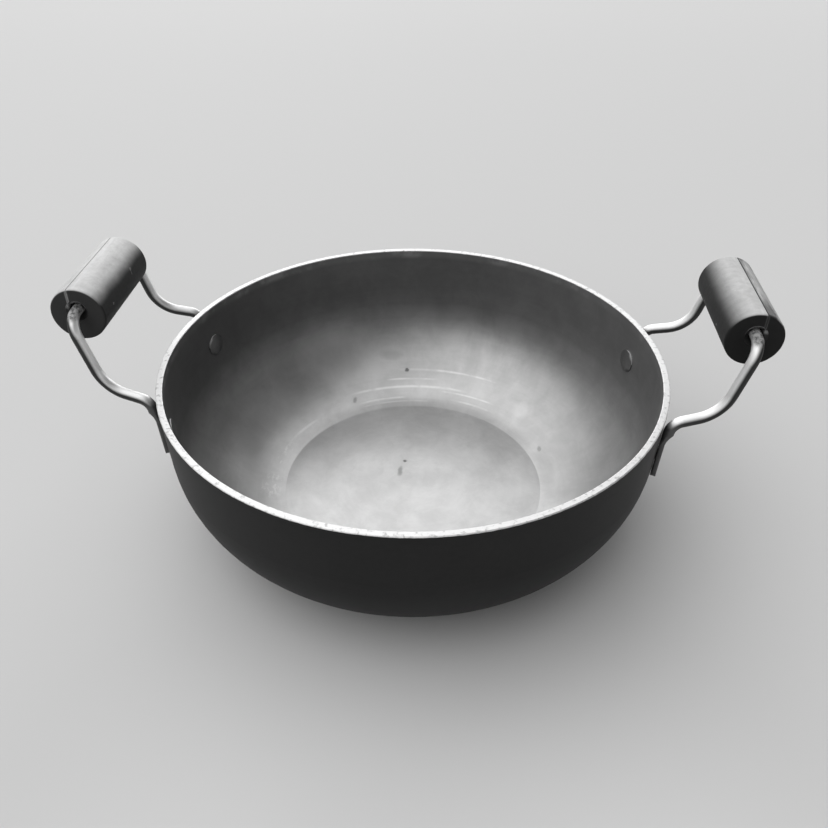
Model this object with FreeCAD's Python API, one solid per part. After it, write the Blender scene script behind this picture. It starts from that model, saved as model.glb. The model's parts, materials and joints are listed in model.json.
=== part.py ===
import FreeCAD, Part
import math
import os

# Kadai: a deep round pan with two riveted rod handles, each carrying a grip that turns on its rod.
# Lengths are in millimetres and angles in degrees.
# The origin is the centre of the base's underside, +Z is up and the handles stand on the X axis.

# Pan body; the corner leaves the flat base at the base edge angle, which leaves a ring round the floor
rim_diameter = 260.0
pan_height = 88.3
wall_thickness = 3.25
wall_taper = 3.0
base_corner_radius = 60.0
base_edge_angle = 5.0
rim_outer_round = 0.5
rim_inner_round = 0.4

# Handle rod, with overhangs counted from the rim's outer edge and rises from its top face
rod_diameter = 5.4
grip_axis_overhang = 27.9
grip_axis_rise = 37.8
knee_overhang = 17.9
knee_rise = 1.5
leg_splay = 1.0
upper_bend_radius = 9.0
knee_bend_radius = 18.0
wall_bend_radius = 7.0

# Flattened tail of the rod, with depths counted from the rim's top face along the wall
tail_angle = 19.0
wall_bend_depth = 3.5
rivet_depth = 23.0
tail_end_depth = 35.5
tail_width = 9.0
tail_thickness = 2.7
tail_edge_round = 1.0
tail_round_length = 0.5
tail_blend_length = 4.5

# Rivet
rivet_shank_diameter = 5.0
rivet_head_diameter = 12.5
rivet_head_height = 1.7
rivet_head_edge = 0.5
rivet_flare_diameter = 7.4
rivet_flare_depth = 1.2

# Grip
grip_diameter = 26.8
grip_length = 59.0
grip_end_round = 1.2
grip_bore_offset = 2.2
mouth_diameter = 10.4
mouth_depth = 2.5
parting_groove = 0.35

# Clearances
seat_clearance = 0.05
rivet_hole_clearance = 0.05
rod_running_clearance = 0.35
grip_end_play = 1.0
match_tolerance = 0.001

# Derived sizes
rim_radius = rim_diameter / 2
rod_radius = rod_diameter / 2
grip_radius = grip_diameter / 2
channel_radius = rod_radius + rod_running_clearance
taper = math.radians(wall_taper)
base_edge = math.radians(base_edge_angle)
rim_top = pan_height
grip_axis_reach = rim_radius + grip_axis_overhang
knee_reach = rim_radius + knee_overhang
grip_axis_height = rim_top + grip_axis_rise
grip_centre_height = grip_axis_height - grip_bore_offset
tail_lift = seat_clearance + tail_thickness / 2
rod_lift = seat_clearance + rod_radius

UP = FreeCAD.Vector(0, 0, 1)
ACROSS = FreeCAD.Vector(0, 1, 0)
CENTRE = FreeCAD.Vector(0, 0, 0)
FRONT = -1
BACK = 1


def vec(x, y, z):
    return FreeCAD.Vector(x, y, z)


def bowl_outline(inset):
    """Half outline of the bowl, set inwards from the outside: base centre, base edge, corner arc, rim."""
    radius = base_corner_radius - inset
    arc_z = base_corner_radius * math.cos(base_edge)
    arc_x = rim_radius - (rim_top - arc_z) * math.tan(taper) - base_corner_radius / math.cos(taper)

    def on_arc(angle):
        return vec(arc_x + radius * math.sin(angle), 0, arc_z - radius * math.cos(angle))

    edge_angle = math.acos((arc_z - inset) / radius)
    wall_angle = math.pi / 2 - taper
    base_centre = vec(0, 0, inset)
    arc_points = [on_arc(angle) for angle in (edge_angle, (edge_angle + wall_angle) / 2, wall_angle)]
    rim_corner = vec(rim_radius - inset / math.cos(taper), 0, rim_top)
    return base_centre, *arc_points, rim_corner


def bowl_solid(inset):
    """Everything inside the bowl outline at this inset, from its floor up to the rim plane."""
    base_centre, arc_start, arc_middle, wall_foot, rim_corner = bowl_outline(inset)
    rim_centre = vec(0, 0, rim_top)
    edges = [
        Part.makeLine(base_centre, arc_start),
        Part.Arc(arc_start, arc_middle, wall_foot).toShape(),
        Part.makeLine(wall_foot, rim_corner),
        Part.makeLine(rim_corner, rim_centre),
        Part.makeLine(rim_centre, base_centre),
    ]
    return Part.Face(Part.Wire(edges)).revolve(CENTRE, UP, 360)


def wall_placement(angle):
    """Frame on the outer wall at the rivet: X along the rim, Y up the wall, Z out of the wall."""
    turn = FreeCAD.Rotation(UP, angle)
    along = turn.multVec(ACROSS)
    upward = turn.multVec(vec(math.sin(taper), 0, math.cos(taper)))
    outward = turn.multVec(vec(math.cos(taper), 0, -math.sin(taper)))
    reach = rim_radius - rivet_depth * math.sin(taper)
    origin = turn.multVec(vec(reach, 0, rim_top - rivet_depth * math.cos(taper)))
    return FreeCAD.Placement(origin, FreeCAD.Rotation(along, upward, outward, "ZXY"))


def rivet_angles():
    """Angle around the pan of each rivet, by name."""
    return {
        "right_front": -tail_angle,
        "right_back": tail_angle,
        "left_front": 180 + tail_angle,
        "left_back": 180 - tail_angle,
    }


def rivet_hole(angle):
    """Round cutter for the rivet shank's hole, standing through the wall."""
    radius = rivet_shank_diameter / 2 + rivet_hole_clearance
    hole = Part.makeCylinder(radius, 4 * wall_thickness, vec(0, 0, -2 * wall_thickness), UP)
    hole.Placement = wall_placement(angle).multiply(hole.Placement)
    return hole


def rim_edge(shell, radius):
    """Circular edge of this radius in the rim's top plane."""
    for edge in shell.Edges:
        curve = edge.Curve
        if isinstance(curve, Part.Circle):
            offset = abs(curve.Center.z - rim_top) + abs(curve.Radius - radius)
            if offset < match_tolerance:
                return edge


def make_pan_body():
    """Pressed bowl of even thickness with a machined, lightly rounded rim and four rivet holes."""
    body = bowl_solid(0).cut(bowl_solid(wall_thickness))
    mouth_radius = rim_radius - wall_thickness / math.cos(taper)
    body = body.makeFillet(rim_outer_round, [rim_edge(body, rim_radius)])
    body = body.makeFillet(rim_inner_round, [rim_edge(body, mouth_radius)])
    for angle in rivet_angles().values():
        body = body.cut(rivet_hole(angle))
    return body


def rounded_path(points, radii):
    """Wire through the points with every corner rounded to its own radius."""
    edges = []
    start = points[0]
    for before, corner, after, radius in zip(points, points[1:], points[2:], radii):
        back = (before - corner).normalize()
        ahead = (after - corner).normalize()
        half_angle = back.getAngle(ahead) / 2
        reach = radius / math.tan(half_angle)
        bisector = (back + ahead).normalize()
        arc_middle = corner + bisector * (radius / math.sin(half_angle) - radius)
        arc_start = corner + back * reach
        arc_end = corner + ahead * reach
        edges.append(Part.makeLine(start, arc_start))
        edges.append(Part.Arc(arc_start, arc_middle, arc_end).toShape())
        start = arc_end
    edges.append(Part.makeLine(start, points[-1]))
    return Part.Wire(edges)


def ring_of_edges(corners, middles):
    """Closed wire of eight edges; an edge with a middle point bulges through it, the others are straight."""
    edges = []
    for index, middle in enumerate(middles):
        first = corners[index]
        second = corners[(index + 1) % len(corners)]
        if middle is None:
            edges.append(Part.makeLine(first, second))
        else:
            edges.append(Part.Arc(first, middle, second).toShape())
    return Part.Wire(edges)


def round_section(height):
    """Round rod section in the wall frame, split into eight arcs that pair with the flat section."""
    flat_half = math.degrees(math.atan2(tail_edge_round, tail_thickness))
    turns = []
    for quarter in range(4):
        turns.extend([90 * quarter - flat_half, 90 * quarter + flat_half])

    def on_circle(turn):
        bearing = math.radians(turn)
        return vec(rod_radius * math.cos(bearing), height, rod_lift + rod_radius * math.sin(bearing))

    corners = [on_circle(turn) for turn in turns]
    middles = []
    for index, turn in enumerate(turns):
        following = turns[(index + 1) % len(turns)]
        if following < turn:
            following += 360
        middles.append(on_circle((turn + following) / 2))
    return ring_of_edges(corners, middles)


def flat_section(height):
    """Flattened tail section in the wall frame: a bar with four rounded edges."""
    half_width = tail_width / 2
    half_thickness = tail_thickness / 2
    flat_x = half_width - tail_edge_round
    flat_z = half_thickness - tail_edge_round
    bulge = tail_edge_round * math.sqrt(0.5)

    def at(x, z):
        return vec(x, height, tail_lift + z)

    corners = [
        at(half_width, -flat_z), at(half_width, flat_z),
        at(flat_x, half_thickness), at(-flat_x, half_thickness),
        at(-half_width, flat_z), at(-half_width, -flat_z),
        at(-flat_x, -half_thickness), at(flat_x, -half_thickness),
    ]
    middles = []
    for x_sign, z_sign in ((1, 1), (-1, 1), (-1, -1), (1, -1)):
        middles.append(None)
        middles.append(at(x_sign * (flat_x + bulge), z_sign * (flat_z + bulge)))
    return ring_of_edges(corners, middles)


def flared_pin(clearance):
    """Countersunk outer end of the rivet, from the flare's foot to the tail's outer face."""
    top = seat_clearance + tail_thickness
    foot_radius = rivet_shank_diameter / 2 + clearance
    face_radius = rivet_flare_diameter / 2 + clearance
    return Part.makeCone(foot_radius, face_radius, rivet_flare_depth, vec(0, 0, top - rivet_flare_depth), UP)


def make_tail(round_end):
    """Tail in the wall frame: round section blended into a flat, round-ended and pierced bar."""
    flat_top = round_end - tail_blend_length
    end_centre = rivet_depth - tail_end_depth + tail_width / 2
    blend = Part.makeLoft([round_section(round_end), flat_section(flat_top)], True, True)
    bar = Part.Face(flat_section(flat_top)).extrude(vec(0, end_centre - tail_width / 2 - flat_top, 0))
    below = vec(0, end_centre, -tail_thickness)
    keep_round = Part.makeCylinder(tail_width / 2, 3 * tail_thickness, below, UP)
    keep_above = Part.makeBox(tail_width, flat_top - end_centre, 3 * tail_thickness)
    keep_above.translate(below - vec(tail_width / 2, 0, 0))
    tail = blend.fuse(bar.common(keep_above.fuse(keep_round)))
    hole_radius = rivet_shank_diameter / 2 + rivet_hole_clearance
    tail = tail.cut(Part.makeCylinder(hole_radius, 2 * tail_thickness, CENTRE, UP))
    return tail.cut(flared_pin(rivet_hole_clearance))


def upper_corner_half_width():
    """Half the spread of the loop's upper corners, so that the upper bends start just past the grip."""
    leg = vec(knee_reach - grip_axis_reach, leg_splay, knee_rise - grip_axis_rise)
    turn = leg.getAngle(ACROSS)
    return grip_length / 2 + grip_end_play + upper_bend_radius * math.tan(turn / 2)


def wall_point(angle, height):
    """Point on the round rod's axis where it runs down the wall, at a height above the rivet."""
    return wall_placement(angle).multVec(vec(0, height, rod_lift))


def round_end_height():
    """Height above the rivet where the round rod ends, just below the wall bend."""
    knee = vec(knee_reach, upper_corner_half_width() + leg_splay, rim_top + knee_rise)
    corner_height = rivet_depth - wall_bend_depth
    corner = wall_point(tail_angle, corner_height)
    down = wall_point(tail_angle, 0) - corner
    bend_reach = wall_bend_radius / math.tan(down.getAngle(knee - corner) / 2)
    return corner_height - bend_reach - tail_round_length


def make_handle_rod():
    """Bent rod of the right handle: wall bend, knee, upper bend, straight, and the same again in reverse."""
    upper = upper_corner_half_width()
    round_end = round_end_height()
    legs = {}
    for side in (FRONT, BACK):
        angle = side * tail_angle
        legs[side] = [
            wall_point(angle, round_end),
            wall_point(angle, rivet_depth - wall_bend_depth),
            vec(knee_reach, side * (upper + leg_splay), rim_top + knee_rise),
            vec(grip_axis_reach, side * upper, grip_axis_height),
        ]
    points = legs[FRONT] + legs[BACK][::-1]
    radii = [wall_bend_radius, knee_bend_radius, upper_bend_radius]
    path = rounded_path(points, radii + radii[::-1])
    section = Part.Wire(Part.makeCircle(rod_radius, points[0], points[1] - points[0]))
    rod = path.makePipeShell([section], True, True)
    for side in (FRONT, BACK):
        tail = make_tail(round_end)
        tail.Placement = wall_placement(side * tail_angle).multiply(tail.Placement)
        rod = rod.fuse(tail)
    return rod.removeSplitter()


def make_rivet(angle):
    """Rivet with a low round head inside the pan and a flush flared end outside."""
    top = seat_clearance + tail_thickness
    head_face = -wall_thickness - seat_clearance
    head_radius = rivet_head_diameter / 2
    dome_height = rivet_head_height - rivet_head_edge
    dome_radius = (head_radius ** 2 + dome_height ** 2) / (2 * dome_height)
    dome_half_angle = math.asin(head_radius / dome_radius)
    crown = head_face - rivet_head_height
    edge_bottom = head_face - rivet_head_edge
    sunk = head_face + rivet_head_edge
    halfway = dome_half_angle / 2
    dome_middle = vec(dome_radius * math.sin(halfway), 0, crown + dome_radius * (1 - math.cos(halfway)))
    outline = Part.Wire([
        Part.Arc(vec(0, 0, crown), dome_middle, vec(head_radius, 0, edge_bottom)).toShape(),
        Part.makeLine(vec(head_radius, 0, edge_bottom), vec(head_radius, 0, sunk)),
        Part.makeLine(vec(head_radius, 0, sunk), vec(0, 0, sunk)),
        Part.makeLine(vec(0, 0, sunk), vec(0, 0, crown)),
    ])
    head = Part.Face(outline).revolve(CENTRE, UP, 360)
    head.Placement = wall_placement(angle).multiply(head.Placement)
    head = head.common(bowl_solid(wall_thickness + seat_clearance))
    shank = Part.makeCylinder(rivet_shank_diameter / 2, top - edge_bottom, vec(0, 0, edge_bottom), UP)
    shank = shank.fuse(flared_pin(0))
    shank.Placement = wall_placement(angle).multiply(shank.Placement)
    return head.fuse(shank).removeSplitter()


def grip_blank():
    """Plain round bar of the right grip with rounded end edges, its centre below the rod's axis."""
    foot = vec(grip_axis_reach, -grip_length / 2, grip_centre_height)
    blank = Part.makeCylinder(grip_radius, grip_length, foot, ACROSS)
    end_edges = [edge for edge in blank.Edges if hasattr(edge.Curve, "Radius")]
    return blank.makeFillet(grip_end_round, end_edges)


def parting_grooves():
    """Fine V groove all round the line where the two grip mouldings meet."""
    parting = grip_axis_reach + channel_radius
    half_chord = math.sqrt(grip_radius ** 2 - channel_radius ** 2)
    side = parting_groove * math.sqrt(2)
    grooves = []
    for sign in (FRONT, BACK):
        along = Part.makeBox(side, grip_length, side, vec(-side / 2, -grip_length / 2, -side / 2))
        along.rotate(CENTRE, ACROSS, 45)
        along.translate(vec(parting, 0, grip_centre_height + sign * half_chord))
        upright = Part.makeBox(side, side, grip_diameter, vec(-side / 2, -side / 2, -grip_radius))
        upright.rotate(CENTRE, UP, 45)
        upright.translate(vec(parting, sign * grip_length / 2, grip_centre_height))
        grooves.extend([along, upright])
    return grooves


def half_space(outer):
    """Block that holds everything on one side of the grip's parting plane."""
    size = 2 * grip_length
    low_x = grip_axis_reach + channel_radius
    if not outer:
        low_x -= size
    return Part.makeBox(size, size, size, vec(low_x, -size / 2, grip_centre_height - size / 2))


def make_grip_body():
    """Main grip moulding with the rod channel, which widens to a mouth at both ends."""
    body = grip_blank().common(half_space(False))
    foot = vec(grip_axis_reach, -grip_length / 2, grip_axis_height)
    channel = Part.makeCylinder(channel_radius, grip_length, foot, ACROSS)
    slot = Part.makeBox(channel_radius, grip_length, 2 * channel_radius, foot - vec(0, 0, channel_radius))
    body = body.cut(channel).cut(slot)
    for sign in (FRONT, BACK):
        face = vec(grip_axis_reach, sign * grip_length / 2, grip_axis_height)
        mouth = Part.makeCone(mouth_diameter / 2, channel_radius, mouth_depth, face, ACROSS * -sign)
        body = body.cut(mouth)
    for groove in parting_grooves():
        body = body.cut(groove)
    return body


def make_grip_cover():
    """Outer grip moulding whose flat side closes the rod channel."""
    cover = grip_blank().common(half_space(True))
    for groove in parting_grooves():
        cover = cover.cut(groove)
    return cover


def turned_to_left(shape):
    """Copy of a right-hand piece turned half way round the pan."""
    copy = shape.copy()
    copy.rotate(CENTRE, UP, 180)
    return copy


def build_pieces():
    """Every piece of the pan by node name."""
    pieces = {"pan_body": make_pan_body()}
    right_pieces = {
        "handle_rod": make_handle_rod(),
        "grip_body": make_grip_body(),
        "grip_cover": make_grip_cover(),
    }
    for name, shape in right_pieces.items():
        pieces["right_" + name] = shape
        pieces["left_" + name] = turned_to_left(shape)
    for name, angle in rivet_angles().items():
        pieces[name + "_rivet"] = make_rivet(angle)
    return pieces


os.makedirs("parts", exist_ok=True)
for node, solid in build_pieces().items():
    solid.exportStep("parts/" + node + ".step")
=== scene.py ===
"""Looks of the kadai: finishes, floor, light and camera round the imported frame, in metres."""
import json
import math

import bpy
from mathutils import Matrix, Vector


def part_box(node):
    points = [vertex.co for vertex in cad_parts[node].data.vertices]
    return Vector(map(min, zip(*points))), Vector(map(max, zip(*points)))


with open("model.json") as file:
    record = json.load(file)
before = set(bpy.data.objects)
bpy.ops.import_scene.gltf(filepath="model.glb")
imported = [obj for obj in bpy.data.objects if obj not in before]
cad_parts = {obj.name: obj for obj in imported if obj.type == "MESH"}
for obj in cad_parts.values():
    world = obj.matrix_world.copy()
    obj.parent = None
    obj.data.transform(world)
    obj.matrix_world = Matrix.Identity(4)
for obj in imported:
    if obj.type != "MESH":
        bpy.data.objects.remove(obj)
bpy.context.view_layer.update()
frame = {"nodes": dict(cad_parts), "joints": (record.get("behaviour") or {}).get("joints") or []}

MM = 0.001

# The camera stands where the photograph was taken from; its angles are in degrees
CAMERA_PLACE = (0.02656, -0.35731, 0.3195)
CAMERA_TILT = 53.2197
CAMERA_TURN = 4.162
CAMERA_LENS = 35.562
SENSOR_WIDTH = 36.0

# Shape of the bowl and of the right grip, read from the frame
RIM_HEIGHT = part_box("pan_body")[1][2]
GRIP_AXIS = Vector(frame["joints"][0]["pos_m"])
PARTING_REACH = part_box("right_grip_cover")[0][0]

# Grey of the inside of the bowl by height in mm: scoured bright below, dark anodised above
SCOURING = (
    (3.4, 0.67),
    (6.0, 0.52),
    (10.0, 0.46),
    (16.0, 0.45),
    (24.0, 0.45),
    (32.0, 0.40),
    (42.0, 0.25),
    (52.0, 0.15),
    (64.0, 0.125),
)

# Spans in mm over which the bowl's looks change, by height, by y, by x, by the way out along the
# inside, and twice by depth below the rim
UPPER_WALL = (35.0, 55.0)
# By y and by x the bowl takes painted shade towards the front and painted light towards the right
FRONT_TO_MIDDLE = (-60.0, 0.0)
MIDDLE_TO_RIGHT = (20.0, 115.0)
FLOOR_TO_WALL = (70.0, 130.0)
SCUFFED_EDGE = (6.0, 2.5)
BARE_EDGE = (0.35, 0.15)

# Bright rings left by spinning: radius and half width in mm, first and last bearing in degrees
SPIN_RINGS = (
    (78.5, 0.9, 84, 122),
    (82.0, 1.0, 54, 80),
    (81.8, 1.0, 96, 120),
    (82.8, 1.2, 138, 174),
    (87.6, 0.8, 56, 84),
    (90.2, 1.1, 68, 124),
    (95.6, 0.8, 84, 106),
    (101.2, 0.8, 58, 102),
)

# A ring fades in between these multiples of its half width, and out past this share of its arc
RING_EDGE = 1.25
RING_MIDDLE = 0.1
RING_FULL_SHARE = 0.6

# Marks of use and lighter patches in the bowl, as centre and half size in mm and strength
DARK_MARKS = (
    ((-6.1, 17.3, 3.2), (1.6, 1.5, 2.0), 0.75),
    ((-8.2, 8.0, 3.2), (2.0, 6.0, 2.0), 0.45),
    ((-11.5, 100.3, 13.2), (1.9, 1.9, 1.9), 0.8),
    ((-43.6, 73.8, 5.7), (2.0, 3.6, 2.0), 0.45),
    ((74.4, 33.0, 4.5), (1.6, 3.4, 2.0), 0.4),
    ((-22.8, 107.0, 20.4), (11.0, 5.0, 5.0), 0.18),
    ((77.0, 14.0, 4.0), (7.0, 30.0, 5.0), 0.12),
)
LIGHT_MARKS = (
    ((64.3, 66.2, 8.2), (9.0, 8.0, 6.0), 0.4),
    ((-50.6, -24.4, 3.2), (17.0, 14.0, 4.0), 0.3),
    ((-34.0, 38.0, 3.2), (52.0, 42.0, 4.0), 0.9),
    ((14.0, 30.0, 3.2), (40.0, 34.0, 4.0), 0.6),
    ((-66.0, 14.0, 3.2), (20.0, 26.0, 5.0), 0.9),
    ((66.0, 12.0, 3.2), (16.0, 32.0, 5.0), 0.5),
    ((-94.0, 26.0, 13.0), (26.0, 66.0, 22.0), 0.9),
    ((-54.0, 96.0, 24.0), (50.0, 34.0, 24.0), 0.6),
)
STREAKED = (
    ((44.0, 98.0, 22.0), (52.0, 40.0, 28.0), 0.6),
    ((-96.0, 2.0, 11.0), (12.0, 26.0, 12.0), 0.8),
)
ETCHED = (
    ((-80.3, 16.6, 4.6), (10.0, 18.0, 7.0), 1.0),
    ((-80.8, -10.3, 4.7), (9.0, 16.0, 7.0), 0.8),
    ((-95.4, -5.0, 10.0), (7.0, 13.0, 7.0), 0.8),
)

# Spans in mm on the rods, by depth below the rim, over which the tails take painted shade, and by height
# above the grips' axis
PAINTED_SHADE_TAIL = (1.0, 6.0)
CAKED_ELBOW = (0.0, 2.4)

# Spans in mm on the grips: three by distance from the parting line, then by radius and height in the bore
SEAM = (0.5, 0.2)
END_SEAM = (0.9, 0.4)
SEAM_SCUFFS = (4.0, 0.5)
MOUTH = (5.5, 5.1)
ABOVE_ROD = (0.0, 3.0)

# On an end face the parting line is this many times as light as the face
END_SEAM_LIGHTER = 7

# Greys of the painted highlight on the top of each grip moulding
PAINTED_HIGHLIGHT_GREYS = {
    "right_grip_body": (0.46, 0.51),
    "right_grip_cover": (0.06, 0.36),
    "left_grip_body": (0.54, 0.59),
    "left_grip_cover": (0.57, 0.62),
}

# Painted highlight and greys of each grip: tilts towards the pan in degrees over which the painted
# highlight on the top sets in, and greys of the parting line, painted dark as a groove shadow on the
# right grip, and of the end faces
GRIP_HIGHLIGHTS_AND_GREYS = {
    "right": {"highlight_inner_tilts": (78, 18), "seam_grey": 0.03, "end_grey": 0.011},
    "left": {"highlight_inner_tilts": (80, 42), "seam_grey": 0.40, "end_grey": 0.034},
}

# Tilts of the painted highlight's outer edge, and how far noise shifts both its edges, in degrees
HIGHLIGHT_OUTER_TILTS = (-70, -40)
TILT_SHIFT = 18

# Ways that the edges of the rivet heads with a painted highlight and a painted shadow face
RIVET_HIGHLIGHT_SIDE = (0.0, -0.66, 0.75)
RIVET_SHADOW_SIDE = (0.0, -0.66, -0.75)

# Floor: radius in metres, greys on the left and on the right as a painted falloff of light, and a painted
# pool of light in front of the pan as a mark
FLOOR_RADIUS = 12.0
FLOOR_GREYS = (0.65, 0.615)
FLOOR_PAINTED_LIGHT = (((20.0, -240.0, 0.0), (200.0, 180.0, 100.0), 1.0),)
FLOOR_PAINTED_LIGHT_GREY = 0.72

# Sky: its radiance is a level, with a slope to the right, to the back and up, and a sideways bend
SKY_LEVEL = 0.03
SKY_SLOPE = (-1.70, 0.13, 1.46)
SKY_BEND = -1.63
SKY_LEAST = 0.06

# Pale band round the horizon: radiance, sine of the elevation where it ends, how fast it fades there
HORIZON = 0.62
HORIZON_TOP = 0.42
HORIZON_FADE = 2.8

# Window behind the pan: azimuth from +Y towards +X and elevation in degrees, sizes in metres
WINDOW = {
    "azimuth": 3,
    "elevation": 18.5,
    "distance": 6.0,
    "width": 9.6,
    "height": 3.4,
    "radiance": 1.75,
}


class Graph:
    """Builds up a shader tree. A value given to it is a plain one or the socket of another node."""

    def __init__(self, tree):
        self.tree = tree

    def node(self, kind, **settings):
        made = self.tree.nodes.new(kind)
        for name, value in settings.items():
            setattr(made, name, value)
        return made

    def feed(self, socket, value):
        """Links a socket to another, or sets a plain value on it."""
        if isinstance(value, bpy.types.NodeSocket):
            self.tree.links.new(value, socket)
        else:
            socket.default_value = value

    def feed_all(self, sockets, values):
        for socket, value in zip(sockets, values):
            self.feed(socket, value)

    def math(self, operation, *values):
        made = self.node("ShaderNodeMath", operation=operation)
        self.feed_all(made.inputs, values)
        return made.outputs["Value"]

    def vector(self, operation, *values):
        made = self.node("ShaderNodeVectorMath", operation=operation)
        self.feed_all(made.inputs, values)
        scalar = operation in {"LENGTH", "DOT_PRODUCT"}
        return made.outputs["Value" if scalar else "Vector"]

    def split(self, vector):
        made = self.node("ShaderNodeSeparateXYZ")
        self.feed(made.inputs["Vector"], vector)
        return made.outputs

    def combine(self, x, y, z):
        made = self.node("ShaderNodeCombineXYZ")
        self.feed_all(made.inputs, (x, y, z))
        return made.outputs["Vector"]

    def product(self, first, *others):
        for other in others:
            first = self.math("MULTIPLY", first, other)
        return first

    def strongest(self, first, *others):
        for other in others:
            first = self.math("MAXIMUM", first, other)
        return first

    def distance(self, first, second):
        return self.math("ABSOLUTE", self.math("SUBTRACT", first, second))


class Finish(Graph):
    """One procedural material around a Principled shader. Colours are greys."""

    def __init__(self, name):
        self.material = bpy.data.materials.new(name)
        self.material.use_nodes = True
        super().__init__(self.material.node_tree)
        coordinates = self.node("ShaderNodeTexCoord").outputs
        self.place = coordinates["Object"]
        self.facing = coordinates["Normal"]

    def step(self, value, start, end, low=0.0, high=1.0):
        """Goes smoothly from low at start to high at end."""
        made = self.node("ShaderNodeMapRange", interpolation_type="SMOOTHSTEP")
        for name, given in (("Value", value), ("From Min", start), ("From Max", end),
                            ("To Min", low), ("To Max", high)):
            self.feed(made.inputs[name], given)
        return made.outputs["Result"]

    def change(self, place, span, low=0.0, high=1.0):
        """Goes smoothly from low to high over a span in mm."""
        start, end = span
        return self.step(place, start * MM, end * MM, low, high)

    def mix(self, factor, first, second):
        made = self.node("ShaderNodeMix", data_type="FLOAT")
        for index, value in ((0, factor), (2, first), (3, second)):
            self.feed(made.inputs[index], value)
        return made.outputs[0]

    def ramp(self, value, stops):
        """Grey that runs straight from each stop of (value, grey) to the next."""
        made = self.node("ShaderNodeValToRGB")
        elements = made.color_ramp.elements
        elements.remove(elements[1])
        for place, grey in stops:
            elements.new(place).color = (grey, grey, grey, 1.0)
        elements.remove(elements[0])
        self.feed(made.inputs["Fac"], value)
        return made.outputs["Color"]

    def noise_node(self, vector, scale, detail, roughness, distortion):
        made = self.node("ShaderNodeTexNoise")
        self.feed(made.inputs["Vector"], vector)
        for name, value in (("Scale", scale), ("Detail", detail),
                            ("Roughness", roughness), ("Distortion", distortion)):
            made.inputs[name].default_value = value
        return made

    def noise(self, scale, detail=3.0, roughness=0.55, distortion=0.0, stretch=(1.0, 1.0, 1.0)):
        """Noise in the part's own space; a stretch below one draws it out along that axis."""
        vector = self.vector("MULTIPLY", self.place, stretch)
        return self.noise_node(vector, scale, detail, roughness, distortion).outputs["Fac"]

    def lines(self, along, scale):
        """Noise along one coordinate."""
        made = self.node("ShaderNodeTexNoise", noise_dimensions="1D")
        self.feed(made.inputs["W"], along)
        made.inputs["Scale"].default_value = scale
        made.inputs["Detail"].default_value = 1.0
        return made.outputs["Fac"]

    def warped(self, scale, amount):
        """The place on the surface, shifted by noise so that what is drawn with it has ragged edges."""
        colour = self.noise_node(self.place, scale, 3.0, 0.6, 0.0).outputs["Color"]
        shift = self.vector("SUBTRACT", colour, (0.5, 0.5, 0.5))
        return self.vector("MULTIPLY_ADD", shift, (amount, amount, amount), self.place)

    def blots(self, place, marks):
        """The strongest of a list of soft marks, each a centre and half size in mm and a strength."""
        total = 0.0
        for centre, size, strength in marks:
            offset = self.vector("SUBTRACT", place, Vector(centre) * MM)
            reach = self.vector("LENGTH", self.vector("DIVIDE", offset, Vector(size) * MM))
            total = self.strongest(total, self.step(reach, 1.0, 0.35, 0.0, strength))
        return total

    def bump(self, height, distance, strength, under=None):
        made = self.node("ShaderNodeBump")
        made.inputs["Strength"].default_value = strength
        made.inputs["Distance"].default_value = distance
        self.feed(made.inputs["Height"], height)
        if under is not None:
            self.feed(made.inputs["Normal"], under)
        return made.outputs["Normal"]

    def set(self, **sockets):
        """Feeds the shader's sockets, named with _ for a space, and returns the material."""
        shader = self.tree.nodes["Principled BSDF"]
        for name, value in sockets.items():
            self.feed(shader.inputs[name.replace("_", " ")], value)
        return self.material


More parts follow.
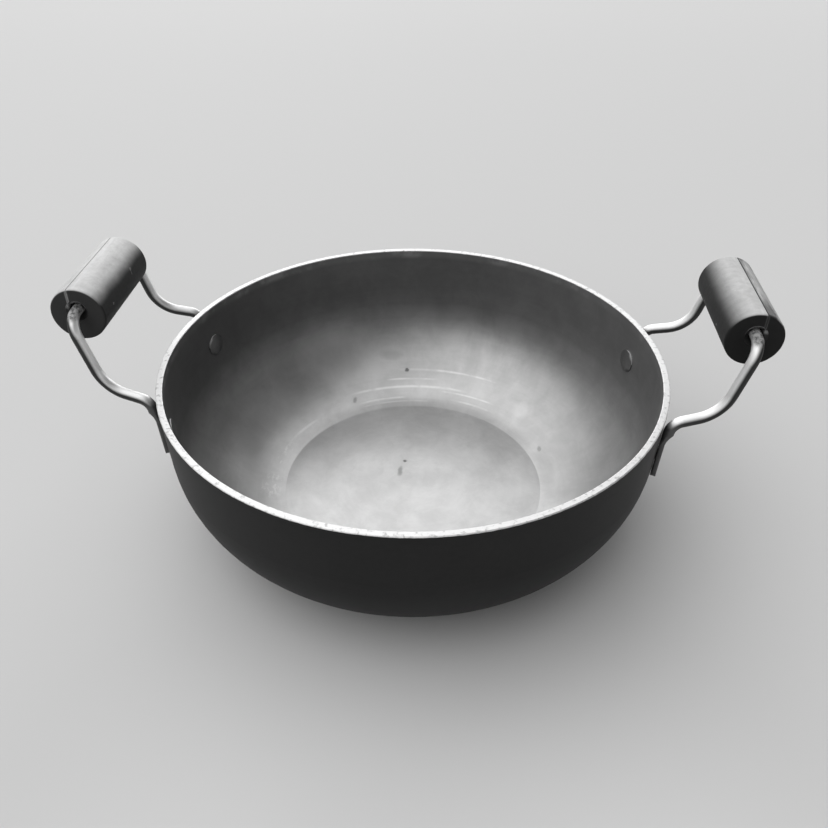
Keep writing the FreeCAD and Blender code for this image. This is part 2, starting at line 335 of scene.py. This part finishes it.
class BowlFinish(Finish):
    """A finish that is drawn in the bowl's own coordinates."""

    def __init__(self, name):
        super().__init__(name)
        self.x, self.y, self.height = self.split(self.place)
        flat_place = self.vector("MULTIPLY", self.place, (1.0, 1.0, 0.0))
        self.outward = self.vector("NORMALIZE", flat_place)
        self.radius = self.vector("LENGTH", flat_place)
        self.bearing = self.math("ARCTAN2", self.y, self.x)
        self.along = self.math("ADD", self.radius, self.height)
        self.below_rim = self.math("SUBTRACT", RIM_HEIGHT, self.height)
        self.cloud = self.noise(22.0, detail=4.0)

    def round_noise(self, across, lengthwise):
        """Noise wrapped round the bowl, with its own scale round the axis and along the wall."""
        round_axis = self.product(self.bearing, across)
        along_wall = self.product(self.along, lengthwise)
        wrapped = self.combine(round_axis, along_wall, 0.0)
        return self.noise_node(wrapped, 1.0, 3.0, 0.6, 0.2).outputs["Fac"]

    def inside(self):
        """One on faces that look up or at the axis, zero on those that look down or away from it."""
        face_z = self.split(self.facing)["Z"]
        away = self.vector("DOT_PRODUCT", self.facing, self.outward)
        return self.step(self.math("SUBTRACT", face_z, away), -0.25, 0.25)

    def scoured(self):
        """Greys of the scoured inside by height, with soft patches, fine turning lines, painted shade low
        down in front and painted light higher up on the right.
        """
        ragged_height = self.product(self.height, self.mix(self.cloud, 0.90, 1.10))
        stops = [(at * MM / RIM_HEIGHT, grey) for at, grey in SCOURING]
        greys = self.ramp(self.math("DIVIDE", ragged_height, RIM_HEIGHT), stops)

        patches = self.step(self.noise(58.0, detail=5.0, roughness=0.65, distortion=0.3), 0.28, 0.72)
        turning_lines = self.round_noise(2.2, 380.0)
        shade = self.product(self.mix(patches, 0.90, 1.08), self.mix(turning_lines, 0.95, 1.05))

        # Painted shade low in the front of the bowl, painted light higher up on the right
        painted_shade_front = self.change(self.y, FRONT_TO_MIDDLE, 0.92, 1.0)
        painted_light_right = self.change(self.x, MIDDLE_TO_RIGHT, 1.0, 1.45)
        sides = self.mix(self.change(self.height, UPPER_WALL), painted_shade_front, painted_light_right)
        return self.product(greys, shade, sides)

    def spin_rings(self):
        """Bright rings, each part of the way round and broken up by noise."""
        rings = 0.0
        for ring, half_width, first, last in SPIN_RINGS:
            gap = self.distance(self.radius, ring * MM)
            line = self.change(gap, (RING_EDGE * half_width, RING_MIDDLE * half_width))
            turn = self.distance(self.bearing, math.radians((first + last) / 2))
            half_arc = math.radians((last - first) / 2)
            arc = self.step(turn, half_arc, RING_FULL_SHARE * half_arc)
            rings = self.strongest(rings, self.product(arc, line))
        return self.product(rings, self.step(self.noise(75.0, detail=4.0), 0.36, 0.58, 0.3, 1.0))

    def light_marks(self):
        """The strongest of the rings, lighter patches, etched strokes and streaks."""
        ragged_place = self.warped(90.0, 9 * MM)
        strokes = self.step(self.round_noise(16.0, 340.0), 0.48, 0.60)
        streaks = self.step(self.round_noise(11.0, 25.0), 0.36, 0.74, 0.0, 0.55)
        return self.strongest(
            self.spin_rings(),
            self.blots(ragged_place, LIGHT_MARKS),
            self.product(strokes, self.blots(ragged_place, ETCHED)),
            self.product(streaks, self.blots(ragged_place, STREAKED)),
        )

    def edge_scuffs(self):
        """Pale scuffs on the dark wall just under the rim."""
        scuffs = self.step(self.noise(75.0, detail=4.0), 0.50, 0.66, 0.2, 0.7)
        return self.product(self.change(self.below_rim, SCUFFED_EDGE), scuffs)

    def inside_grey(self):
        """The scoured greys with light marks, dark marks and scuffs on them."""
        grey = self.scoured()
        grey = self.mix(self.light_marks(), grey, self.math("MULTIPLY_ADD", grey, 0.85, 0.24))
        grey = self.mix(self.blots(self.warped(300.0, 2 * MM), DARK_MARKS), grey, 0.06)
        return self.mix(self.edge_scuffs(), grey, 0.30)


def anodised_pan():
    """Hard anodised aluminium: charcoal outside, scoured bright inside, bare cut metal on the rim."""
    f = BowlFinish("anodised_pan")
    inside = f.inside()
    speckle = f.noise(420.0, detail=2.0)
    outside_grey = f.product(f.mix(f.cloud, 0.012, 0.022), f.mix(speckle, 0.85, 1.15))
    grey = f.mix(inside, outside_grey, f.inside_grey())

    # Bare rim with dark specks
    ragged_depth = f.math("MULTIPLY_ADD", f.noise(260.0), -0.5 * MM, f.below_rim)
    bare = f.change(ragged_depth, BARE_EDGE)
    specks = f.step(f.noise(480.0, detail=3.0), 0.53, 0.72, 0.0, 0.6)
    grey = f.mix(bare, grey, f.mix(specks, f.mix(speckle, 0.68, 0.82), 0.32))

    # Smoothest on the floor, rougher up the wall and roughest outside
    wall_rough = f.change(f.along, FLOOR_TO_WALL, 0.31, 0.42)
    inside_rough = f.math("ADD", wall_rough, f.mix(f.cloud, 0.02, -0.02))
    rough = f.mix(bare, f.mix(inside, 0.60, inside_rough), f.mix(speckle, 0.5, 0.6))
    metal = f.mix(bare, f.mix(inside, 0.5, 0.7), 1.0)

    # Grain outside, and fine spun lines all over
    grain = f.bump(f.product(speckle, f.mix(inside, 1.0, 0.0)), 0.05 * MM, 0.25)
    spun = f.bump(f.lines(f.along, 700.0), 0.01 * MM, 0.4, under=grain)
    return f.set(Base_Color=grey, Metallic=metal, Roughness=rough, Specular_IOR_Level=0.3, Normal=spun)


def polished_rod():
    """Steel rod: bright above and towards the pan, painted dark as shade and dull elsewhere, painted
    shade on the tails, caked at the grips.
    """
    f = Finish("polished_rod")
    x, _, height = f.split(f.place)
    face_x, _, face_z = f.split(f.facing)
    inward = f.product(face_x, f.math("SIGN", x), -0.6)
    # Painted shade: faces that look down or away from the pan are painted nearly black, and made rougher
    dull = f.step(f.math("MULTIPLY_ADD", face_z, 0.8, inward), 0.62, 0.12)
    smear = f.noise(60.0, detail=4.0)
    crumbs = f.noise(420.0, detail=4.0, roughness=0.7)
    above_axis = f.math("SUBTRACT", height, GRIP_AXIS.z)
    caked = f.change(f.math("MULTIPLY_ADD", smear, 3 * MM, above_axis), CAKED_ELBOW)
    painted_shade = f.change(f.math("SUBTRACT", RIM_HEIGHT, height), PAINTED_SHADE_TAIL)

    # Bright steel above, painted shade below
    grey = f.mix(dull, f.mix(smear, 0.78, 0.94), f.mix(smear, 0.015, 0.05))
    # Painted shade on the tails under the rim
    grey = f.mix(painted_shade, grey, f.mix(smear, 0.06, 0.13))
    grey = f.mix(caked, grey, f.step(crumbs, 0.36, 0.60, 0.05, 0.45))
    rougher = f.product(f.strongest(dull, caked), 0.15)
    rough = f.math("ADD", f.mix(smear, 0.32, 0.46), rougher)
    metal = f.mix(caked, 0.6, 0.2)

    grain = f.bump(f.noise(900.0, detail=2.0), 0.02 * MM, 0.2)
    lumps = f.bump(f.product(crumbs, caked), 0.6 * MM, 0.7, under=grain)
    return f.set(Base_Color=grey, Metallic=metal, Roughness=rough, Normal=lumps)


class GripFinish(Finish):
    """A finish that is drawn in the grips' own coordinates, alike on both sides of the pan."""

    def __init__(self, name):
        super().__init__(name)
        x, _, z = self.split(self.place)
        face_x, face_y, face_z = self.split(self.facing)
        reach = self.math("ABSOLUTE", x)
        self.seam_gap = self.distance(reach, PARTING_REACH)
        self.above_axis = self.math("SUBTRACT", z, GRIP_AXIS.z)
        from_axis = self.combine(self.math("SUBTRACT", reach, GRIP_AXIS.x), 0.0, self.above_axis)
        self.mouth = self.change(self.vector("LENGTH", from_axis), MOUTH)
        self.end_face = self.step(self.math("ABSOLUTE", face_y), 0.55, 0.9)
        inward = self.product(face_x, self.math("SIGN", x), -1.0)
        self.tilt = self.math("ARCTAN2", inward, face_z)

        self.cloud = self.noise(45.0, detail=4.0)
        self.rubs = self.noise(160.0, detail=4.0, stretch=(1.0, 0.15, 1.0))
        self.crumbs = self.noise(420.0, detail=4.0, roughness=0.7)

    def painted_highlight_mask(self, highlight_inner_tilts):
        """The top side, painted as a highlight, with ragged edges."""
        ragged_tilt = self.math("MULTIPLY_ADD", self.cloud, math.radians(TILT_SHIFT), self.tilt)
        inner_edge = self.step(ragged_tilt, *map(math.radians, highlight_inner_tilts))
        outer_edge = self.step(ragged_tilt, *map(math.radians, HIGHLIGHT_OUTER_TILTS))
        return self.product(inner_edge, outer_edge)

    def scuffs(self):
        """Pale ragged scuffs along the parting line, and a few nicks."""
        ragged = self.step(self.rubs, 0.50, 0.62, 0.0, 0.8)
        along_seam = self.product(self.change(self.seam_gap, SEAM_SCUFFS), ragged)
        nicks = self.step(self.noise(260.0, detail=1.0), 0.74, 0.78)
        return self.strongest(along_seam, nicks)

    def side_grey(self, top, painted_highlight_greys, seam_grey):
        """Black with a mottled painted highlight on the top, scuffs painted paler there, and the parting
        line.
        """
        mottle = self.mix(self.noise(300.0, detail=4.0, roughness=0.7), 0.72, 1.28)
        # Light grey painted highlight on the top, mottled
        highlight_grey = self.mix(self.step(self.rubs, 0.38, 0.62), *painted_highlight_greys)
        highlight_grey = self.product(highlight_grey, mottle, self.mix(self.cloud, 0.80, 1.20))
        grey = self.mix(top, self.mix(self.cloud, 0.016, 0.026), highlight_grey)
        # Scuffs, painted paler on the top as part of the painted highlight
        grey = self.mix(self.scuffs(), grey, self.mix(top, 0.12, 0.70))
        # The parting line on the sides is painted dark as a groove shadow on the right grip and lighter
        # on the left
        return self.mix(self.change(self.seam_gap, SEAM, 0.0, 0.8), grey, seam_grey)

    def end_face_grey(self, end_grey):
        """Black with the parting line lighter."""
        plain = self.product(self.mix(self.cloud, 0.7, 1.3), end_grey)
        lighter = self.product(self.mix(self.rubs, 0.4, 1.6), END_SEAM_LIGHTER * end_grey)
        return self.mix(self.change(self.seam_gap, END_SEAM, 0.0, 0.9), plain, lighter)

    def mouth_grey(self):
        """Dark, with pale crumbs above the rod."""
        above_rod = self.change(self.above_axis, ABOVE_ROD)
        return self.mix(self.product(above_rod, self.step(self.crumbs, 0.36, 0.58)), 0.02, 0.22)


def moulded_grip(name, painted_highlight_greys, highlight_inner_tilts, seam_grey, end_grey):
    """Black phenolic: a light grey painted highlight and a little gloss on its top, dull on its ends,
    crumbly in its mouths.
    """
    f = GripFinish(name)
    # The top is painted light grey as a highlight
    top = f.painted_highlight_mask(highlight_inner_tilts)
    grey = f.mix(f.end_face, f.side_grey(top, painted_highlight_greys, seam_grey), f.end_face_grey(end_grey))
    grey = f.mix(f.mouth, grey, f.mouth_grey())
    dull = f.strongest(f.mouth, f.end_face, f.math("SUBTRACT", 1.0, top))
    rough = f.mix(dull, f.mix(f.rubs, 0.38, 0.50), f.mix(f.crumbs, 0.5, 0.75))
    metal = f.mix(dull, 0.15, 0.0)

    grain = f.bump(f.noise(700.0, detail=3.0), 0.03 * MM, 0.25)
    lumps = f.bump(f.product(f.crumbs, f.mouth), 0.8 * MM, 0.8, under=grain)
    return f.set(Base_Color=grey, Metallic=metal, Roughness=rough, Specular_IOR_Level=0.15, Normal=lumps)


def rivet_metal():
    """Anodised rivet, with a painted highlight on the upper front edge of its head and a painted shadow
    on the lower one.
    """
    f = Finish("rivet_metal")
    cloud = f.noise(250.0, detail=3.0)
    painted_edge_highlight = f.step(f.vector("DOT_PRODUCT", f.facing, RIVET_HIGHLIGHT_SIDE), 0.53, 0.61)
    painted_shade = f.step(f.vector("DOT_PRODUCT", f.facing, RIVET_SHADOW_SIDE), 0.42, 0.56)
    # Painted highlight on the upper front edge, painted shadow on the lower front edge
    grey = f.mix(painted_shade, f.mix(painted_edge_highlight, f.mix(cloud, 0.11, 0.17), 0.8), 0.003)
    grain = f.bump(cloud, 0.05 * MM, 0.2)
    return f.set(Base_Color=grey, Metallic=0.7, Roughness=f.mix(cloud, 0.36, 0.48), Normal=grain)


def studio_floor():
    """Pale matt paper, painted a little darker towards the right as falling light, with a painted pool of
    light in front of the pan.
    """
    f = Finish("studio_floor")
    across = f.split(f.place)["X"]
    # Painted falloff of light towards the right, and a painted pool of light in front of the pan
    painted_falloff = f.step(f.math("MULTIPLY_ADD", f.noise(1.5, detail=1.0), 0.2, across), -0.5, 0.7)
    grey = f.mix(f.blots(f.place, FLOOR_PAINTED_LIGHT), f.mix(painted_falloff, *FLOOR_GREYS), FLOOR_PAINTED_LIGHT_GREY)
    return f.set(Base_Color=grey, Roughness=0.9, Specular_IOR_Level=0.1)


def dress(node, material):
    frame["nodes"][node].material_slots[0].material = material


def add_floor():
    bpy.ops.mesh.primitive_circle_add(vertices=96, radius=FLOOR_RADIUS, fill_type="NGON")
    floor = bpy.context.object
    floor.name = "floor"
    floor.data.materials.append(studio_floor())


def add_panel(name, azimuth, elevation, distance, width, height, radiance):
    """A flat soft light of an even radiance that faces the middle of the bowl."""
    turn = math.radians(azimuth)
    rise = math.radians(elevation)
    away = Vector((math.cos(rise) * math.sin(turn), math.cos(rise) * math.cos(turn), math.sin(rise)))
    light = bpy.data.lights.new(name, "AREA")
    light.shape = "RECTANGLE"
    light.size = width
    light.size_y = height
    light.energy = radiance * math.pi * width * height
    panel = bpy.data.objects.new(name, light)
    panel.location = Vector((0.0, 0.0, RIM_HEIGHT / 2)) + distance * away
    panel.rotation_euler = away.to_track_quat("Z", "Y").to_euler()
    bpy.context.collection.objects.link(panel)


def add_world():
    """Soft light from above and the left, over a pale horizon."""
    world = bpy.data.worlds.new("room")
    world.use_nodes = True
    bpy.context.scene.world = world
    sky = Graph(world.node_tree)
    direction = sky.node("ShaderNodeTexCoord").outputs["Generated"]
    x, _, z = sky.split(direction)
    slope = sky.math("ADD", sky.vector("DOT_PRODUCT", direction, SKY_SLOPE), SKY_LEVEL)
    upper_sky = sky.math("MULTIPLY_ADD", sky.product(x, x), SKY_BEND, slope)
    fading = sky.math("MULTIPLY_ADD", z, -HORIZON_FADE, HORIZON_FADE * HORIZON_TOP)
    horizon = sky.math("MINIMUM", fading, HORIZON)
    radiance = sky.strongest(upper_sky, SKY_LEAST, horizon)
    sky.feed(world.node_tree.nodes["Background"].inputs["Color"], radiance)


def add_camera():
    lens = bpy.data.cameras.new("photo_camera")
    lens.lens = CAMERA_LENS
    lens.sensor_width = SENSOR_WIDTH
    camera = bpy.data.objects.new("photo_camera", lens)
    camera.location = CAMERA_PLACE
    camera.rotation_euler = (math.radians(CAMERA_TILT), 0.0, math.radians(CAMERA_TURN))
    bpy.context.collection.objects.link(camera)
    bpy.context.scene.camera = camera


dress("pan_body", anodised_pan())
rod = polished_rod()
rivet = rivet_metal()
for side in ("right", "left"):
    dress(f"{side}_handle_rod", rod)
    for end in ("front", "back"):
        dress(f"{side}_{end}_rivet", rivet)
    for moulding in ("body", "cover"):
        grip = f"{side}_grip_{moulding}"
        dress(grip, moulded_grip(f"{grip}_finish", PAINTED_HIGHLIGHT_GREYS[grip], **GRIP_HIGHLIGHTS_AND_GREYS[side]))

bpy.context.scene.view_settings.view_transform = "Standard"
add_floor()
add_world()
add_panel("window", **WINDOW)
add_camera()
